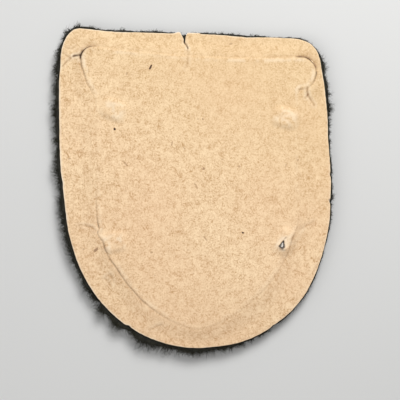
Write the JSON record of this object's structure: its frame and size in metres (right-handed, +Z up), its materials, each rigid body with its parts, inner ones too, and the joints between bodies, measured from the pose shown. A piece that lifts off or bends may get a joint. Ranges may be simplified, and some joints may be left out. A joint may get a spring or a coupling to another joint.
{
  "type": "cloth-backed metal sleeve shield badge",
  "caption": "Shield-shaped metal sleeve badge on a wool cloth, lying face down: worn paper-covered back with the pressed plate outline, folded prongs under the paper and a torn notch.",
  "frame": {"origin": "on the surface that the badge rests on with its front rim, below the middle of its bounding box", "axes": "+X across the shield, to the right as its back is seen; +Y towards its straight top edge; +Z up, out of its paper-covered back"},
  "size_m": [0.0617, 0.0724, 0.0046],
  "materials": {
    "shield_metal": "dull grey zinc-washed sheet with a pebbled field and a smoother rim, darkened in the hollows",
    "wool": "dark grey-green felted wool, torn and frayed to loose hairs at the edge",
    "plate_metal": "bare thin sheet metal, dull",
    "cover_paper": "aged tan fibrous card, matt, flecked, rubbed lighter along the raised edges and cracked dark in its creases"
  },
  "bodies": {
    "root": {"front_shield": "shield_metal", "cloth_backing": "wool", "backing_plate": "plate_metal", "cover_paper": "cover_paper"}
  },
  "joints": []
}
